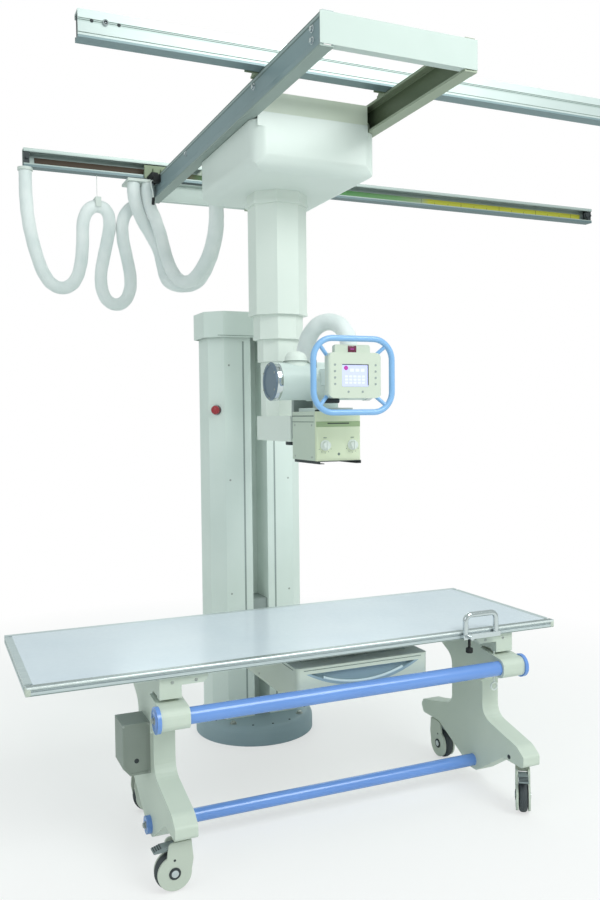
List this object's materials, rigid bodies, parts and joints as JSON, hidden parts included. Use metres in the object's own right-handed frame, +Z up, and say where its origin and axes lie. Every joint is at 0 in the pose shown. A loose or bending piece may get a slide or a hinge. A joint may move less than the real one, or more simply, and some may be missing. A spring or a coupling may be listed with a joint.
{
  "type": "x-ray machine",
  "caption": "Ceiling-suspended radiography system: rails, bridge, telescoping column, tilting x-ray tube head, floor stand with tilting detector, and wheeled float-top table.",
  "frame": {"origin": "centre of the detector stand's foot, on the floor", "axes": "+X along the ceiling rails and the table, towards the foot end with the grab handle; +Y away from the operator, through the stand; +Z up"},
  "size_m": [4.016, 2.254, 2.961],
  "materials": {
    "rail_aluminium": "satin extruded",
    "bridge_grey": "satin blue-grey",
    "white_paint": "satin white",
    "cream_paint": "satin cream white",
    "sage_metal": "satin grey-green",
    "scale_yellow": "printed strip",
    "cover_white": "semi-gloss moulded",
    "hose_white": "fabric-braided flexible sleeve",
    "fitting_grey": "matt",
    "cap_blue": "satin blue-grey",
    "dark_plate": "satin dark grey",
    "knob_cream": "satin",
    "screen": "pale lavender display",
    "key_grey": "membrane keys",
    "handle_sky": "sky blue grip",
    "stand_cream": "satin cream with a cool tint",
    "foot_grey": "satin blue-grey",
    "stop_red": "gloss red",
    "collar_grey": "satin",
    "slide_grey": "satin grey",
    "detector_cream": "semi-gloss moulded",
    "recess_blue": "matt blue-grey",
    "table_blue": "pale lavender-grey laminate",
    "table_edge": "satin extruded",
    "tube_blue": "gloss periwinkle blue",
    "box_grey": "satin grey",
    "chrome": "polished",
    "caster_cream": "moulded",
    "tread_dark": "tread",
    "pedal_grey": "ribbed"
  },
  "bodies": {
    "fixed": {"near_rail": "rail_aluminium", "far_rail": "rail_aluminium", "rail_end_stops": "dark_plate", "scale_strip": "scale_yellow", "stand_foot": "foot_grey", "stand_column": "stand_cream", "stand_cap": "stand_cream", "stop_collar": "collar_grey", "left_leg": "cream_paint", "right_leg": "cream_paint", "leg_beams": "cream_paint", "cross_tubes": "tube_blue", "control_box": "box_grey"},
    "bridge": {"left_beam": "bridge_grey", "right_beam": "sage_metal", "bridge_end_covers": "white_paint", "bridge_trolleys": "sage_metal", "supply_hose": "hose_white", "hose_fittings": "fitting_grey", "carriage_hoses": "hose_white"},
    "carriage": {"carriage_frame": "sage_metal", "carriage_cover": "cover_white", "column_outer": "cream_paint"},
    "column_mid": {"column_middle": "cream_paint"},
    "column_in": {"column_inner": "cream_paint"},
    "head": {"swivel_head": "cream_paint"},
    "tube": {"tube_mount": "slide_grey", "tube_housing": "cream_paint", "tube_end_caps": "cap_blue", "cable_sockets": "cream_paint", "head_hose": "hose_white", "collimator_body": "sage_metal", "collimator_front": "cream_paint", "accessory_rails": "dark_plate", "panel_housing": "cream_paint", "panel_screen": "screen", "panel_keys": "key_grey", "grip_ring": "handle_sky"},
    "knob_left": {"collimator_knob_left": "knob_cream"},
    "knob_right": {"collimator_knob_right": "knob_cream"},
    "stop": {"stop_button": "stop_red"},
    "detector_lift": {"detector_slide": "slide_grey"},
    "detector": {"detector_housing": "detector_cream", "detector_handle": "recess_blue"},
    "cross": {"cross_slide": "slide_grey"},
    "top": {"table_top": "table_blue", "top_profiles": "table_edge", "grab_handle": "chrome"},
    "caster_front_left": {"fork_front_left": "caster_cream"},
    "roller_front_left": {"wheel_front_left": "tread_dark"},
    "brake_front_left": {"pedal_front_left": "pedal_grey"},
    "caster_front_right": {"fork_front_right": "caster_cream"},
    "roller_front_right": {"wheel_front_right": "tread_dark"},
    "brake_front_right": {"pedal_front_right": "pedal_grey"},
    "caster_rear_left": {"fork_rear_left": "caster_cream"},
    "roller_rear_left": {"wheel_rear_left": "tread_dark"},
    "brake_rear_left": {"pedal_rear_left": "pedal_grey"},
    "caster_rear_right": {"fork_rear_right": "caster_cream"},
    "roller_rear_right": {"wheel_rear_right": "tread_dark"},
    "brake_rear_right": {"pedal_rear_right": "pedal_grey"}
  },
  "joints": [
    {"name": "bridge_travel", "type": "slide", "parent": "fixed", "child": "bridge", "axis": [1, 0, 0], "range_m": [-0.15, 2.35]},
    {"name": "carriage_travel", "type": "slide", "parent": "bridge", "child": "carriage", "axis": [0, 1, 0], "range_m": [-0.6, 0.1]},
    {"name": "middle_drop", "type": "slide", "parent": "carriage", "child": "column_mid", "axis": [0, 0, -1], "range_m": [-0.09, 0.31]},
    {"name": "inner_drop", "type": "slide", "parent": "column_mid", "child": "column_in", "axis": [0, 0, -1], "range_m": [-0.09, 0.31]},
    {"name": "head_swivel", "type": "hinge", "parent": "column_in", "child": "head", "pos_m": [0, -0.373, 1.8], "axis": [0, 0, 1], "range_deg": [-110, 110]},
    {"name": "tube_tilt", "type": "hinge", "parent": "head", "child": "tube", "pos_m": [0, -0.7, 1.5015], "axis": [0, 1, 0], "range_deg": [-120, 120]},
    {"name": "left_knob_turn", "type": "hinge", "parent": "tube", "child": "knob_left", "pos_m": [-0.048, -0.97, 1.439], "axis": [0, 1, 0], "range_deg": [-50, 50]},
    {"name": "right_knob_turn", "type": "hinge", "parent": "tube", "child": "knob_right", "pos_m": [0.072, -0.97, 1.439], "axis": [0, 1, 0], "range_deg": [-50, 50]},
    {"name": "stop_press", "type": "slide", "parent": "fixed", "child": "stop", "axis": [0.7071, 0.7071, 0], "range_m": [0, 0.006], "stiffness_N_per_m": 1500},
    {"name": "detector_lift", "type": "slide", "parent": "fixed", "child": "detector_lift", "axis": [0, 0, 1], "range_m": [-0.25, 0.015]},
    {"name": "detector_tilt", "type": "hinge", "parent": "detector_lift", "child": "detector", "pos_m": [0, -0.43, 0.55], "axis": [1, 0, 0], "range_deg": [0, 20]},
    {"name": "table_cross", "type": "slide", "parent": "fixed", "child": "cross", "axis": [0, 1, 0], "range_m": [-0.13, 0.13]},
    {"name": "table_glide", "type": "slide", "parent": "cross", "child": "top", "axis": [1, 0, 0], "range_m": [-0.3, 0.5]},
    {"name": "front_left_swivel", "type": "hinge", "parent": "fixed", "child": "caster_front_left", "pos_m": [-0.749, -1.312, 0.178], "axis": [0, 0, 1], "continuous": true},
    {"name": "front_left_roll", "type": "hinge", "parent": "caster_front_left", "child": "roller_front_left", "pos_m": [-0.783, -1.312, 0.0625], "axis": [0, 1, 0], "continuous": true},
    {"name": "front_left_brake", "type": "hinge", "parent": "caster_front_left", "child": "brake_front_left", "pos_m": [-0.781, -1.312, 0.148], "axis": [0, 1, 0], "range_deg": [-12, 0]},
    {"name": "front_right_swivel", "type": "hinge", "parent": "fixed", "child": "caster_front_right", "pos_m": [0.637, -1.312, 0.178], "axis": [0, 0, 1], "continuous": true},
    {"name": "front_right_roll", "type": "hinge", "parent": "caster_front_right", "child": "roller_front_right", "pos_m": [0.6175, -1.33985, 0.0625], "axis": [-0.8192, 0.5736, 0], "continuous": true},
    {"name": "front_right_brake", "type": "hinge", "parent": "caster_front_right", "child": "brake_front_right", "pos_m": [0.61865, -1.33821, 0.148], "axis": [-0.8192, 0.5736, 0], "range_deg": [-12, 0]},
    {"name": "rear_left_swivel", "type": "hinge", "parent": "fixed", "child": "caster_rear_left", "pos_m": [-0.749, -0.707, 0.178], "axis": [0, 0, 1], "continuous": true},
    {"name": "rear_left_roll", "type": "hinge", "parent": "caster_rear_left", "child": "roller_rear_left", "pos_m": [-0.71513, -0.70404, 0.0625], "axis": [0.0872, -0.9962, 0], "continuous": true},
    {"name": "rear_left_brake", "type": "hinge", "parent": "caster_rear_left", "child": "brake_rear_left", "pos_m": [-0.71712, -0.70421, 0.148], "axis": [0.0872, -0.9962, 0], "range_deg": [-12, 0]},
    {"name": "rear_right_swivel", "type": "hinge", "parent": "fixed", "child": "caster_rear_right", "pos_m": [0.637, -0.707, 0.178], "axis": [0, 0, 1], "continuous": true},
    {"name": "rear_right_roll", "type": "hinge", "parent": "caster_rear_right", "child": "roller_rear_right", "pos_m": [0.637, -0.741, 0.0625], "axis": [-1, 0, 0], "continuous": true},
    {"name": "rear_right_brake", "type": "hinge", "parent": "caster_rear_right", "child": "brake_rear_right", "pos_m": [0.637, -0.739, 0.148], "axis": [-1, 0, 0], "range_deg": [-12, 0]}
  ],
  "couplings": [
    {"joint": "inner_drop", "follows": "middle_drop", "ratio": 1}
  ]
}
